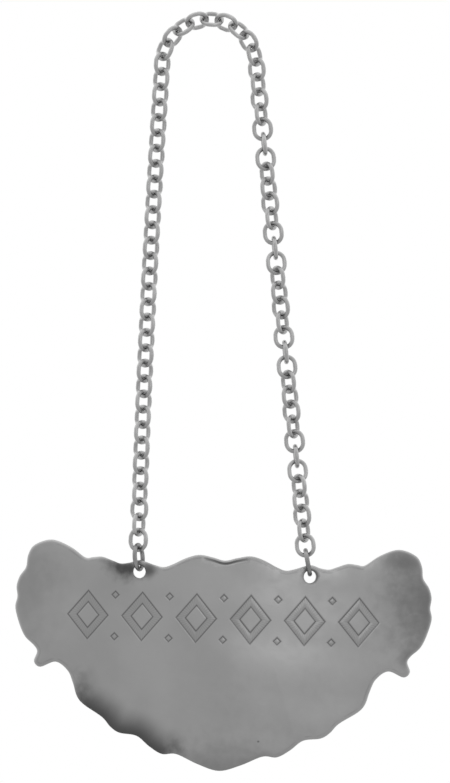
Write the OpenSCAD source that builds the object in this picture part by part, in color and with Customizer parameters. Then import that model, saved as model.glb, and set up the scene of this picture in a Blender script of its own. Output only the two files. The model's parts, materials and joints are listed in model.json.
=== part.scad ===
// Silver wine label: a scalloped, bowed plate that hangs on a cable chain by two connecting rings.
// It is drawn as it hangs: +Z is up, the engraved front faces -Y, and the origin is the point inside
// the top of the chain's loop where a bottle's neck or a peg carries it.

/* [Plate] */
// Width of the plate across its side scallops
plate_w = 58.2; // [50:0.1:70]
// Drop from the line of the chain holes to the lowest tip
plate_drop = 27.35; // [22:0.05:34]
// Rise from the line of the chain holes to the top of the corner lobes
lobe_rise = 4.05; // [3:0.05:6]
// Thickness of the silver sheet
plate_t = 0.9; // [0.6:0.05:1.1]
// Radius that the plate is bowed to, about an upright axis behind it
bow_r = 75; // [60:1:150]

/* [Chain holes] */
// Distance between the two chain holes
hole_spacing = 23.7; // [20:0.1:30]
// Diameter of each chain hole
hole_d = 1.8; // [1.7:0.05:2.4]
// Silver left above each hole
lug_wall = 0.7; // [0.5:0.05:0.9]

/* [Engraved band] */
// Number of large lozenges in the band
band_lozenges = 6; // [2:1:7]
// Distance from one large lozenge to the next
band_pitch = 7.55; // [6.5:0.05:8]
// Width of a large lozenge
lozenge_w = 6; // [4:0.1:6.4]
// Height of a large lozenge
lozenge_h = 7.2; // [5:0.1:8]
// Width of the engraved stroke of a large lozenge
band_stroke = 1.3; // [0.5:0.05:1.4]
// Size across the small lozenges between the large ones
bead_w = 1.4; // [0.6:0.1:1.6]
// Drop from the line of the chain holes to the middle of the band
band_drop = 6.2; // [5.6:0.1:8]
// Depth of the engraving
band_depth = 0.12; // [0.05:0.01:0.2]

/* [Chain links] */
// Outer length of an oval link
link_l = 3.42; // [3.2:0.01:3.8]
// Outer width of an oval link
link_w = 3; // [2.6:0.05:3.1]
// Wire diameter of a link
link_wire = 0.6; // [0.4:0.01:0.65]
// Play between the wires of two links
link_gap = 0.08; // [0.06:0.01:0.2]
// Slack besides in each link of the crown and the right leg, which hang less taut
link_slack = 0.06; // [0:0.01:0.1]
// Links in each leg of the chain
leg_links = 31; // [20:1:36]
// Turn of the left leg's and the crown's links, to either side in turn
link_turn = 45; // [40:1:50]
// Twist of the left leg's foot towards its ring
left_leg_twist = 18; // [0:1:30]
// Links that this twist is spread over
left_twist_links = 4; // [1:1:12]
// Bow of the left leg to the side at its middle
left_leg_bow = -0.3; // [-1:0.05:1]

/* [Crown of the chain] */
// Links that bend over the bottle's neck
crown_bend_links = 10; // [8:1:12]
// Links that hang straight from the right end of the bend
crown_tail_links = 2; // [0:1:4]
// Radius of the bend through the middle of its links
crown_r = 6.6; // [6:0.1:8]
// Lean of the bend to the left, which sets how far the crown hangs to one side
crown_tilt = 7.3; // [-10:0.1:12]

/* [Connecting rings] */
// Outer diameter of a connecting ring
ring_d = 4; // [3.9:0.05:5]
// Wire diameter of a connecting ring
ring_wire = 0.62; // [0.5:0.01:0.7]
// Play between a ring and the silver above its hole
ring_play = 0.25; // [0.2:0.01:0.35]
// Turn of the left ring about its upright axis
left_ring_turn = -18; // [-20:1:0]
// Turn of the right ring about its upright axis
right_ring_turn = 0; // [-4:1:18]
// Lean of the left ring's top to the side
left_ring_lean = -6; // [-10:1:6]
// Lean of the right ring's top to the side
right_ring_lean = -12; // [-14:1:6]

/* [Hidden] */
$fn = 48;
bow_fn = 360;
curve_steps = 4;
cut_margin = 1;
silver = "silver";
dark_silver = "darkgray";

// The right half of the outline, from the notch at the top to the tip at the foot, as drawn at these sizes
drawn_hole_x = 11.85;
drawn_half_w = 29.1;
drawn_drop = 27.35;
drawn_rise = 4.05;
half_outline = [
    [0, 1.9], [1.7, 2.3], [3.6, 2.6], [5.4, 2.1], [7.3, 1.15], [8.5, 0.75], [9.8, 1],
    [drawn_hole_x, 1.6], [13.3, 1.2], [14.5, 1.05], [15.6, 1.4], [17.1, 1.9], [18.4, 1.8], [19.5, 1.75],
    [21.6, 3.15], [24.2, drawn_rise], [26.6, 3.25], [27.5, 1.8], [27.75, 0.1],
    [28.6, -1.2], [29, -2.6], [28.85, -4.05], [drawn_half_w, -5.6], [28.45, -7.9], [27.6, -9.6],
    [26.3, -10.8], [25.85, -11.65], [26.25, -13], [25.35, -13.75], [23.2, -12.95], [21.5, -14.1],
    [20.7, -15.8], [20.1, -17.6], [19.1, -18.75], [16.5, -20.4], [15.3, -21.7], [14, -22.5],
    [11.6, -22.85], [9.8, -24.25], [8, -25.25], [6, -25.2], [3, -26.5], [0, -drawn_drop]
];

// The right leg twists by a quarter turn in each repeat of these links, counted from its ring
twist_steps = [4, 16, 38, 44, 53, 60, 76];

// Plate
hole_x = hole_spacing / 2;
hole_turn = asin(hole_x / bow_r);
bow_axis_y = bow_r * cos(hole_turn);
plate_depth = bow_axis_y - sqrt(pow(bow_r, 2) - pow(plate_w / 2, 2)) + plate_t;
plate_reach = plate_drop + lobe_rise;

// Links and rings, through the middle of their wire
link_pitch = link_l - 2 * link_wire - link_gap;
slack_pitch = link_pitch - link_slack;
left_leg_l = leg_links * link_pitch;
right_leg_l = leg_links * slack_pitch;
link_end_r = (link_w - link_wire) / 2;
link_side = link_l - link_w;
ring_r = (ring_d - ring_wire) / 2;
ring_drop = hole_d / 2 - ring_wire / 2 - ring_play;

// Points of the chain's path, as [x, z] from midway between the holes
left_seat = [-hole_x, ring_drop];
right_seat = [hole_x, ring_drop];
left_leg_foot = ring_top(left_seat, left_ring_lean);
right_leg_foot = ring_top(right_seat, right_ring_lean);

// The crown's bend, by angles from straight up to where its links meet
crown_links = crown_bend_links + crown_tail_links;
crown_step = 2 * asin(slack_pitch / 2 / crown_r);
bend_end = crown_bend_links * crown_step / 2 - crown_tilt;
bend_start = bend_end - crown_bend_links * crown_step;

// The crown and the two legs make a four-bar linkage over the two feet, and the crown's lean fixes it
leg_spread = (crown_reach(crown_links) - crown_reach(0) - (right_leg_foot - left_leg_foot)) / 2;
leg_shift = (pow(right_leg_l, 2) - pow(left_leg_l, 2)) / (4 * norm(leg_spread));
leg_square = (pow(left_leg_l, 2) + pow(right_leg_l, 2)) / 2;
leg_rise = sqrt(leg_square - leg_spread * leg_spread - pow(leg_shift, 2));
crown_middle = (left_leg_foot + right_leg_foot) / 2
    + (leg_shift * leg_spread + leg_rise * [leg_spread[1], -leg_spread[0]]) / norm(leg_spread);
crown_centre = crown_middle - (crown_reach(0) + crown_reach(crown_links)) / 2;
bearing_r = crown_r * cos(crown_step / 2) - link_end_r * cos(link_turn) - link_wire / 2;
bearing = crown_centre + [0, bearing_r];

function numbered(name, i) = str(name, i < 10 ? "_0" : "_", i);

// The direction of an upright thing whose top leans to +X
function leaning(lean) = [sin(lean), cos(lean)];
function ring_centre(seat, lean) = seat + ring_r * leaning(lean);
function ring_top(seat, lean) = seat + (2 * ring_r - (ring_wire + link_gap) / 2) * leaning(lean);

// Where the crown's links meet, from the middle of its bend
function crown_reach(i) = crown_r * leaning(bend_start + min(i, crown_bend_links) * crown_step)
    + max(0, i - crown_bend_links) * slack_pitch * leaning(bend_end + 90);

// Where the chain's links meet: over the crown from left to right, and down each leg
function crown_contact(i) = crown_centre + crown_reach(i);
function along(a, b, share, bow = 0) = a + (b - a) * share + [4 * bow * share * (1 - share), 0];
function left_contact(i) = along(crown_contact(0), left_leg_foot, i / leg_links, left_leg_bow);
function right_contact(i) = along(crown_contact(crown_links), right_leg_foot, i / leg_links);

// Turns of the links about their length: 0 is edge-on from the front, 90 is face-on
function turn_in_turn(above_foot) = above_foot % 2 == 0 ? link_turn : -link_turn;
function left_turn(i) = turn_in_turn(leg_links - i)
    + left_leg_twist * max(0, 1 - (leg_links - i) / left_twist_links);
function twisted_turn(i) =
    let (
        above_ring = i - leg_links - 1,
        repeat = floor(above_ring / len(twist_steps)),
        step = above_ring - repeat * len(twist_steps)
    )
    90 * (above_ring + repeat) + twist_steps[step];

// The crown twists a little on its way, so that its last link is square to the right leg's first
crown_twist = nearest_turn(-twisted_turn(1) - turn_in_turn(leg_links + crown_links));
function nearest_turn(angle) = angle - 180 * round(angle / 180);
function crown_turn(i) = turn_in_turn(leg_links + i - 1) + crown_twist * i / (crown_links + 1);

// The outline stretched to the plate's sizes, with the lugs kept round their holes
function stretched_x(x) = x <= drawn_hole_x
    ? x * hole_x / drawn_hole_x
    : hole_x + (x - drawn_hole_x) * (plate_w / 2 - hole_x) / (drawn_half_w - drawn_hole_x);
function stretched_z(x, z) = x == drawn_hole_x
    ? hole_d / 2 + lug_wall
    : z * (z < 0 ? plate_drop / drawn_drop : lobe_rise / drawn_rise);
function stretched(p) = [stretched_x(p[0]), stretched_z(p[0], p[1])];
right_outline = [for (p = half_outline) stretched(p)];
outline_points = concat(
    right_outline,
    [for (i = [len(right_outline) - 2:-1:1]) [-right_outline[i][0], right_outline[i][1]]]
);

// A smooth closed curve through every point
function through(a, b, c, d, t) = b
    + (c - a) * t / 2
    + (2 * a - 5 * b + 4 * c - d) * pow(t, 2) / 2
    + (3 * b - a - 3 * c + d) * pow(t, 3) / 2;
function closed_curve(points) =
    let (n = len(points))
    [for (i = [0:n - 1], step = [0:curve_steps - 1])
        through(
            points[(i + n - 1) % n],
            points[i],
            points[(i + 1) % n],
            points[(i + 2) % n],
            step / curve_steps
        )];

// Moves what is drawn from midway between the holes to the part's own origin
module hung() {
    translate([-bearing[0], 0, -bearing[1]]) children();
}

module oval_link() {
    rotate([90, 0, 90])
        for (end = [0, 180])
            rotate(end) {
                translate([0, link_side / 2])
                    rotate_extrude(angle = 180)
                        translate([link_end_r, 0]) circle(d = link_wire);
                translate([link_end_r, 0])
                    rotate([90, 0, 0]) cylinder(d = link_wire, h = link_side, center = true);
            }
}

module link_between(upper, lower, turn) {
    way = upper - lower;
    middle = (upper + lower) / 2;
    translate([middle[0], 0, middle[1]])
        rotate([0, atan2(way[0], way[1]), 0])
            rotate([0, 0, turn]) oval_link();
}

module crown_link(i) {
    color(silver) hung()
        link_between(crown_contact(i), crown_contact(i - 1), crown_turn(i));
}

module link_pair(i) {
    color(silver) hung() {
        link_between(left_contact(i - 1), left_contact(i), left_turn(i));
        link_between(right_contact(i - 1), right_contact(i), twisted_turn(i));
    }
}

module connecting_ring(seat, turn, lean) {
    middle = ring_centre(seat, lean);
    color(dark_silver) hung()
        translate([middle[0], 0, middle[1]])
            rotate([0, lean, 0]) rotate([0, 0, turn]) rotate([0, 90, 0])
                rotate_extrude() translate([ring_r, 0]) circle(d = ring_wire);
}

module left_connecting_ring() {
    connecting_ring(left_seat, left_ring_turn, left_ring_lean);
}

module right_connecting_ring() {
    connecting_ring(right_seat, right_ring_turn, right_ring_lean);
}

// A flat drawing carried through the whole depth of the bowed plate
module through_plate() {
    rotate([90, 0, 0])
        linear_extrude(2 * (plate_depth + bow_r - bow_axis_y + cut_margin), center = true) children();
}

module bowed_sheet(front_r, back_r) {
    translate([0, bow_axis_y, 0]) difference() {
        cylinder(r = front_r, h = 2 * (plate_reach + cut_margin), center = true, $fn = bow_fn);
        cylinder(r = back_r, h = 2 * (plate_reach + 2 * cut_margin), center = true, $fn = bow_fn);
    }
}

module lozenge(w, h) {
    polygon([[w / 2, 0], [0, h / 2], [-w / 2, 0], [0, -h / 2]]);
}

// Large lozenges in outline, with a small one in each gap
module band_pattern() {
    first_x = -(band_lozenges - 1) / 2 * band_pitch;
    shrink = 1 - 2 * band_stroke * norm([lozenge_w, lozenge_h]) / (lozenge_w * lozenge_h);
    for (i = [0:band_lozenges - 1])
        translate([first_x + i * band_pitch, -band_drop]) difference() {
            lozenge(lozenge_w, lozenge_h);
            lozenge(lozenge_w * shrink, lozenge_h * shrink);
        }
    for (i = [1:band_lozenges - 1], side = [-1, 1])
        translate([first_x + (i - 0.5) * band_pitch, -band_drop + side * (lozenge_h - bead_w) / 2])
            lozenge(bead_w, bead_w);
}

module label_plate() {
    front_r = bow_r + plate_t / 2;
    color(silver) hung() difference() {
        intersection() {
            through_plate() polygon(closed_curve(outline_points));
            bowed_sheet(front_r, bow_r - plate_t / 2);
        }
        for (side = [-1, 1])
            translate([side * hole_x, 0, 0]) rotate([90, 0, side * hole_turn])
                cylinder(d = hole_d, h = 2 * (plate_t + cut_margin), center = true);
        intersection() {
            through_plate() band_pattern();
            bowed_sheet(front_r + cut_margin, front_r - band_depth);
        }
    }
}

for (i = [1:crown_links])
    crown_link(i);
for (i = [1:leg_links])
    link_pair(i);
left_connecting_ring();
right_connecting_ring();
label_plate();
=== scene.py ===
"""A silver wine label in its finishes: the bowed plate, its chain and its two connecting rings.

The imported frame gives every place. Sizes are in millimetres unless a name says otherwise, and
every mesh is made in metres in the frame's own axes: +Z up as the label hangs, with the engraved
front facing -Y.
"""

import json
import logging
import math
from collections.abc import Callable, Sequence
from dataclasses import dataclass
from enum import Enum

import bmesh
import bpy
import numpy as np
from mathutils import Matrix, Quaternion, Vector
from mathutils.geometry import delaunay_2d_cdt
from mathutils.kdtree import KDTree


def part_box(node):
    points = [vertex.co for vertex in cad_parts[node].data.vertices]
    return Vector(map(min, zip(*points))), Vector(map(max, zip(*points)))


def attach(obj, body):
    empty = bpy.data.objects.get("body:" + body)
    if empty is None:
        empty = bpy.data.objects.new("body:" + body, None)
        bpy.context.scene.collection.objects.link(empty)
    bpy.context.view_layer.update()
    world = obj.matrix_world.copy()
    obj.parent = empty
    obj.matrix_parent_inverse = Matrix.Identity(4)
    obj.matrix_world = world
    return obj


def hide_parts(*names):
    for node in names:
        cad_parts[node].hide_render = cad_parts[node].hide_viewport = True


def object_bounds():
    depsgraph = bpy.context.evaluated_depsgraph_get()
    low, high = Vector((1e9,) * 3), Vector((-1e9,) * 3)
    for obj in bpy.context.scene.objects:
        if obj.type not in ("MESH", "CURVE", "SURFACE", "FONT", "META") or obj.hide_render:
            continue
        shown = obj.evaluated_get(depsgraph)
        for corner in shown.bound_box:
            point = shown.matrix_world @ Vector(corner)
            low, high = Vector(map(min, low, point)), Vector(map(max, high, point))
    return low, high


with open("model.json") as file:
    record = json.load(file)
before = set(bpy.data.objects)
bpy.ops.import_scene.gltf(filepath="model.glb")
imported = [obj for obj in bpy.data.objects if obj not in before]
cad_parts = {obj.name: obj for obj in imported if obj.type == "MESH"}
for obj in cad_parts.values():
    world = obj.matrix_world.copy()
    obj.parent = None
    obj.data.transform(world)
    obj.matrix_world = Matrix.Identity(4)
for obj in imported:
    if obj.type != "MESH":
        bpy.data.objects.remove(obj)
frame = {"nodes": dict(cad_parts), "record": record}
CAD_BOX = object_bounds()

LOG = logging.getLogger("wine_label")
MM = 0.001
FLATTEN = 1e6  # a scale so large that a pattern no longer changes in that direction
NOISE_SPAN = (0.25, 0.75)  # where nearly all the values of a noise lie
NOISE_DETAIL = 4.0
MERGE_DISTANCE = 1e-7

Socket = bpy.types.NodeSocket
Span = tuple[float, float]  # where a ramp starts and ends
Place = tuple[float, float]  # x and z on the plate laid flat
Line = tuple[int, int]  # the numbers of a line's two points
Cut = tuple[list[int], list[Line]]  # a cut's points, and the lines that faces keep to
Level = float | np.ndarray  # one value for all the points of a ring, or one for each
Ring = tuple[float, Level, Level]  # how far a ring lies inside a lozenge, its depth and its mark


class Side(Enum):
    """A half of the label, as the sign of X from its middle."""

    LEFT = -1
    RIGHT = 1


class MeshMark(Enum):
    """Attributes that the meshes carry for their finishes to read."""

    HOLLOW = "hollow"
    SHOULDER_HIGHLIGHT = "shoulder_highlight"
    FROM_EDGE = "from_edge"
    TONE = "tone"


class Graph:
    """A node tree under construction, whose inputs are set or linked by name."""

    def __init__(self, tree: bpy.types.NodeTree) -> None:
        """Starts on a tree, which may already hold nodes."""
        self.tree = tree

    def add(
        self, kind: str, inputs: dict[str, object] | None = None, **settings: object
    ) -> bpy.types.Node:
        """Adds one node.

        Args:
            kind: The node's type.
            inputs: What goes into each named input: another node's output, or a value of its own.
            settings: The node's own properties.

        Returns:
            The new node.
        """
        node = self.tree.nodes.new(kind)
        for name, value in settings.items():
            setattr(node, name, value)
        for name, value in (inputs or {}).items():
            named = (s for s in node.inputs if s.enabled and name in (s.name, s.identifier))
            self.feed(next(named), value)
        return node

    def feed(self, socket: Socket, value: object) -> None:
        """Links an output to an input, or sets the input's own value.

        Args:
            socket: The input.
            value: Another node's output, or a value.
        """
        if isinstance(value, Socket):
            self.tree.links.new(value, socket)
        else:
            socket.default_value = value

    def out(
        self,
        kind: str,
        inputs: dict[str, object] | None = None,
        output: str | None = None,
        **settings: object,
    ) -> Socket:
        """Adds one node and gives its output of that name, or else its first."""
        node = self.add(kind, inputs, **settings)
        return next(s for s in node.outputs if s.enabled and output in (None, s.name))

    def math(self, operation: str, first: object, second: object = 0.0) -> Socket:
        """Adds a Math node on one or two numbers.

        Args:
            operation: What the node does.
            first: A number, or an output that gives one.
            second: Another, for an operation on two.

        Returns:
            The result.
        """
        node = self.add("ShaderNodeMath", operation=operation)
        self.feed(node.inputs[0], first)
        self.feed(node.inputs[1], second)
        return node.outputs[0]

    def ramp(
        self, value: object, low: object, high: object, bottom: float = 0.0, top: float = 1.0
    ) -> Socket:
        """Adds a smooth step.

        Args:
            value: What it steps with.
            low: The value where it leaves the bottom.
            high: The value where it reaches the top.
            bottom: The number at the bottom.
            top: The number at the top.

        Returns:
            The number at each value.
        """
        return self.out(
            "ShaderNodeMapRange",
            {"Value": value, "From Min": low, "From Max": high, "To Min": bottom, "To Max": top},
            interpolation_type="SMOOTHSTEP",
        )

    def mix(self, factor: object, first: object, second: object) -> Socket:
        """A colour between two colours."""
        colours = {"Factor": factor, "A": first, "B": second}
        return self.out("ShaderNodeMix", colours, data_type="RGBA")

    def vector(self, operation: str, first: object, second: object) -> Socket:
        """Adds a Vector Math node on two vectors.

        Args:
            operation: What the node does.
            first: A vector, or an output that gives one.
            second: Another.

        Returns:
            The result: a vector, or else a number.
        """
        return self.out(
            "ShaderNodeVectorMath", {"Vector": first, "Vector_001": second}, operation=operation
        )

    def mark(self, mark: MeshMark) -> Socket:
        """One of the mesh's marks, read by a material."""
        return self.out("ShaderNodeAttribute", output="Fac", attribute_name=mark.value)


def grey(level: float) -> tuple[float, float, float, float]:
    """A neutral colour of that linear level."""
    return (level, level, level, 1.0)


def put_up(name: str, data: bpy.types.ID) -> bpy.types.Object:
    """Puts a new object in the scene.

    Args:
        name: Its name.
        data: Its mesh, lamp or camera.

    Returns:
        The object.
    """
    made = bpy.data.objects.new(name, data)
    bpy.context.scene.collection.objects.link(made)
    return made


@dataclass(frozen=True)
class Patch:
    """A soft oval patch painted darker on the plate, placed from midway between its chain holes:
    part oxide, part painted shade and painted dark reflection.

    It may reach only so far in from the plate's edge, and it may be painted lighter along the rim,
    as a painted highlight.
    """

    x: float
    z: float
    half_length: float
    half_height: float
    strength: float
    turn_deg: float = 0.0
    core: float = 0.0
    edge_reach: float = 0.0
    raggedness: float = 0.12
    rim_highlight: float = 0.0
    rim_width: float = 0.5

    def mask(self, graph: Graph, place: Socket, ragged: Socket) -> Socket:
        """Fades from the patch's strength at its core to nothing at its edge.

        Args:
            graph: The material's graph.
            place: Coordinates in millimetres from midway between the chain holes.
            ragged: Noise from 0 to 1 that makes the edge uneven.

        Returns:
            The patch's strength at each point.
        """
        local = graph.out(
            "ShaderNodeMapping",
            {
                "Vector": place,
                "Location": (self.x, 0.0, self.z),
                "Rotation": (0.0, math.radians(-self.turn_deg), 0.0),
                "Scale": (self.half_length, FLATTEN, self.half_height),
            },
            vector_type="TEXTURE",
        )
        reach = graph.out("ShaderNodeVectorMath", {"Vector": local}, "Value", operation="LENGTH")
        jitter = graph.ramp(ragged, *NOISE_SPAN, -self.raggedness, self.raggedness)
        mask = graph.ramp(graph.math("ADD", reach, jitter), 1.0, self.core, 0.0, self.strength)
        from_edge = graph.mark(MeshMark.FROM_EDGE)
        if self.edge_reach:
            uneven = graph.math("ADD", from_edge, jitter)
            mask = graph.math("MULTIPLY", mask, graph.ramp(uneven, self.edge_reach, 0.0))
        # Painted highlight: the patch is painted lighter along the rim.
        left = graph.ramp(from_edge, self.rim_width, 0.0, 1.0, 1.0 - self.rim_highlight)
        return graph.math("MULTIPLY", mask, left)


@dataclass(frozen=True)
class SilverFinish:
    """How a silver surface looks: its tones as linear greys, its polish and its wear.

    Hollows are painted darker, as oxide and painted shade; what lies behind the middle of the chain
    is painted darker as shade, and the shoulders of the links there carry a painted highlight.
    """

    name: str
    slot: str
    bright: float
    dull: float
    # The colour that oxide and painted shade darken towards.
    oxide_and_shade: float
    edge_tint: float
    smooth_roughness: float
    worn_roughness: float
    cloud_size: float
    speck_size: float
    bump_depth: float
    hollow_strength: float
    cloud_span: Span = (0.3, 0.7)
    worn_span: Span = (0.35, 0.75)
    scratch_lift: float = 0.2
    scratch_turns_deg: tuple[float, float] = (12.0, -58.0)
    scratch_thresholds: tuple[float, float] = (0.66, 0.68)
    scratch_softness: float = 0.05
    scratch_stretch: tuple[float, float, float] = (9.0, 9.0, 0.35)
    scratch_size: float = 0.5
    scratch_detail: float = 2.0
    tone_drop: float = 0.6
    # Painted shade on what lies behind the middle of the chain.
    back_shade: float = 0.0
    back_shade_span: Span = (0.0, 0.7)
    # Painted highlight on the links' shoulders behind the chain's middle.
    shoulder_highlight_strength: float = 0.0
    shoulder_highlight_span: Span = (0.2, 0.5)
    shoulder_highlight_tone: float = 0.95

    def oxide_and_painted_shade(self, graph: Graph, place: Socket, ragged: Socket) -> object:
        """Darkening that lies in patches, part oxide and part painted shade; plain silver has none.
        """
        return 0.0

    def painted_highlights(self, graph: Graph, place: Socket) -> object:
        """Painted highlights and painted reflection by place; plain silver has none."""
        return 0.0

    def scratches(self, graph: Graph, place: Socket) -> Socket:
        """Fine polishing lines in two directions.

        Args:
            graph: The material's graph.
            place: Coordinates in millimetres.

        Returns:
            1 on a scratch and 0 off it.
        """
        lines = []
        drawings = zip(self.scratch_turns_deg, self.scratch_thresholds, strict=True)
        for turn_deg, threshold in drawings:
            drawn = graph.out(
                "ShaderNodeMapping",
                {
                    "Vector": place,
                    "Rotation": (0.0, math.radians(turn_deg), 0.0),
                    "Scale": self.scratch_stretch,
                },
                vector_type="TEXTURE",
            )
            noise = self.noise(graph, drawn, self.scratch_size, self.scratch_detail)
            lines.append(graph.ramp(noise, threshold, threshold + self.scratch_softness))
        return graph.math("MAXIMUM", *lines)

    def noise(
        self, graph: Graph, place: Socket, size: float, detail: float = NOISE_DETAIL
    ) -> Socket:
        """Cloudy noise whose clouds are about that far across."""
        inputs = {"Vector": place, "Scale": 1 / size, "Detail": detail}
        return graph.out("ShaderNodeTexNoise", inputs, "Fac")

    def material(self) -> bpy.types.Material:
        """Builds the finish as a node material.

        Returns:
            The material, which reads Object coordinates and the mesh's marks.
        """
        material = bpy.data.materials.new(self.name)
        material.use_nodes = True
        graph = Graph(material.node_tree)
        shader = material.node_tree.nodes["Principled BSDF"]
        coords = graph.out("ShaderNodeTexCoord", output="Object")
        place = graph.out(
            "ShaderNodeVectorMath", {"Vector": coords, "Scale": 1 / MM}, operation="SCALE"
        )
        clouds = self.noise(graph, place, self.cloud_size)
        specks = self.noise(graph, place, self.speck_size)
        scratches = self.scratches(graph, place)

        lift = graph.math("ADD", graph.ramp(clouds, *self.cloud_span), self.painted_highlights(graph, place))
        lift = graph.math("ADD", lift, graph.math("MULTIPLY", scratches, self.scratch_lift))
        tone = graph.math("MULTIPLY", graph.mark(MeshMark.TONE), self.tone_drop)
        lift = graph.math("SUBTRACT", lift, tone)
        silver = graph.mix(lift, grey(self.dull), grey(self.bright))
        behind = graph.vector("DOT_PRODUCT", place, (0.0, 1.0, 0.0))
        # Painted highlight: the links' shoulders behind the chain's middle are painted lighter.
        shoulder_highlight = graph.ramp(behind, *self.shoulder_highlight_span, 0.0, self.shoulder_highlight_strength)
        shoulder_highlight = graph.math("MULTIPLY", shoulder_highlight, graph.mark(MeshMark.SHOULDER_HIGHLIGHT))
        silver = graph.mix(shoulder_highlight, silver, grey(self.shoulder_highlight_tone))

        # Hollows are painted darker: oxide in the plate's engraving, and painted shade in its
        # dents, in the chain's crevices and on its dark grains.
        dark = graph.math("MULTIPLY", graph.mark(MeshMark.HOLLOW), self.hollow_strength)
        # Painted shade: what lies behind the chain's middle is painted darker.
        back = graph.ramp(behind, *self.back_shade_span, 0.0, self.back_shade)
        for other in (back, self.oxide_and_painted_shade(graph, place, specks)):
            dark = graph.math("MAXIMUM", dark, other)
        colour = graph.mix(dark, silver, grey(self.oxide_and_shade))

        worn = graph.math("MAXIMUM", graph.ramp(specks, *self.worn_span), scratches)
        worn = graph.math("MAXIMUM", worn, dark)
        roughness = graph.ramp(worn, 0.0, 1.0, self.smooth_roughness, self.worn_roughness)
        cut = graph.math("MULTIPLY", scratches, self.scratch_lift)
        height = graph.math("SUBTRACT", specks, cut)
        bump = graph.out(
            "ShaderNodeBump",
            {"Height": height, "Distance": self.bump_depth * MM, "Strength": 1.0},
        )
        graph.feed(shader.inputs["Base Color"], colour)
        graph.feed(shader.inputs["Roughness"], roughness)
        graph.feed(shader.inputs["Normal"], bump)
        shader.inputs["Metallic"].default_value = 1.0
        shader.inputs["Specular Tint"].default_value = grey(self.edge_tint)
        return material


@dataclass(frozen=True)
class PlateFinish(SilverFinish):
    """Polished plate silver: a painted highlight along the rim, a painted reflection band, and
    patches of oxide and painted shade.
    """

    middle: tuple[float, float, float] = (0.0, 0.0, 0.0)
    patches: tuple[Patch, ...] = ()
    rim_width: float = 0.5
    rim_highlight_lift: float = 0.2
    seam_start: float = 0.28
    seam_end: float = 0.62
    seam_strength: float = 0.2
    seam_break: Span = (0.35, 0.6)
    painted_reflection_start: Place = (6.75, -11.1)
    painted_reflection_end: Place = (10.8, -23.5)
    painted_reflection_edge: Span = (-0.3, 0.3)
    painted_reflection_fade: Span = (9.0, 0.5)
    painted_reflection_rise: Span = (-1.0, 1.5)
    painted_reflection_lift: float = 0.35

    def from_middle(self, graph: Graph, place: Socket) -> Socket:
        """Coordinates from midway between the chain holes."""
        return graph.vector("SUBTRACT", place, self.middle)

    def oxide_and_painted_shade(self, graph: Graph, place: Socket, ragged: Socket) -> object:
        """The darkening of the patches, part oxide and part painted shade and dark reflection, and
        of a thin darker line inside the edge.

        Args:
            graph: The material's graph.
            place: Coordinates in millimetres.
            ragged: Noise from 0 to 1 that makes their edges uneven.

        Returns:
            The strongest darkening at each point.
        """
        from_edge = graph.mark(MeshMark.FROM_EDGE)
        seam_middle = (self.seam_start + self.seam_end) / 2
        seam = graph.ramp(from_edge, self.seam_start, seam_middle, 0.0, self.seam_strength)
        seam = graph.math("MULTIPLY", seam, graph.ramp(from_edge, self.seam_end, seam_middle))
        total = graph.math("MULTIPLY", seam, graph.ramp(ragged, *self.seam_break))
        local = self.from_middle(graph, place)
        for patch in self.patches:
            total = graph.math("MAXIMUM", total, patch.mask(graph, local, ragged))
        return total

    def painted_highlights(self, graph: Graph, place: Socket) -> object:
        """A painted highlight along the rim, and a painted reflection band that starts at a
        straight line and fades from it.

        Args:
            graph: The material's graph.
            place: Coordinates in millimetres.

        Returns:
            The painted lightening at each point.
        """
        # Painted reflection: a lighter band across the plate.
        start, end = Vector(self.painted_reflection_start), Vector(self.painted_reflection_end)
        along = (end - start).normalized()
        offset = graph.vector("SUBTRACT", self.from_middle(graph, place), (start.x, 0.0, start.y))
        distance = graph.vector("DOT_PRODUCT", offset, (-along.y, 0.0, along.x))
        travel = graph.vector("DOT_PRODUCT", offset, (along.x, 0.0, along.y))
        wedge = graph.ramp(distance, *self.painted_reflection_edge)
        wedge = graph.math("MULTIPLY", wedge, graph.ramp(distance, *self.painted_reflection_fade))
        rise = graph.ramp(travel, *self.painted_reflection_rise, 0.0, self.painted_reflection_lift)
        wedge = graph.math("MULTIPLY", wedge, rise)
        # Painted highlight along the rim.
        rim = graph.ramp(graph.mark(MeshMark.FROM_EDGE), self.rim_width, 0.0, 0.0, self.rim_highlight_lift)
        return graph.math("ADD", wedge, rim)


@dataclass(frozen=True)
class WireLoop:
    """A closed loop of round wire, oval or round, with a soldered seam in one side."""

    length: float
    width: float
    wire: float
    path_steps: int
    section_steps: int
    seam_swell: float = 0.07
    seam_length: float = 0.35

    def bearing(self) -> float:
        """How far from the loop's middle another wire bears on the inside of its end, in metres."""
        return (self.length / 2 - self.wire) * MM


@dataclass(frozen=True)
class ShadeGrain:
    """A dark grain put where one wire bears on another, as painted shade in the crevice: small
    enough that both turn clear.
    """

    half_length: float = 0.25
    half_width: float = 0.045
    sunk: float = 0.02
    clear: float = 0.012

    def pose(self, bed: Vector, roof: Vector) -> Matrix:
        """Fits a grain between two wires.

        Args:
            bed: The inside of the wire that it lies on.
            roof: The inside of the wire that bears there.

        Returns:
            Its middle, its turn and its half sizes, for a ball of radius 1.
        """
        along = (roof - bed).normalized()
        across = Vector((0.0, 1.0, 0.0)).cross(along).normalized()
        low, high = -self.sunk * MM, (roof - bed).length - self.clear * MM
        turn = Matrix((across, along.cross(across), along)).transposed().to_quaternion()
        size = (self.half_length * MM, self.half_width * MM, (high - low) / 2)
        return Matrix.LocRotScale(bed + along * (low + high) / 2, turn, size)


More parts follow.
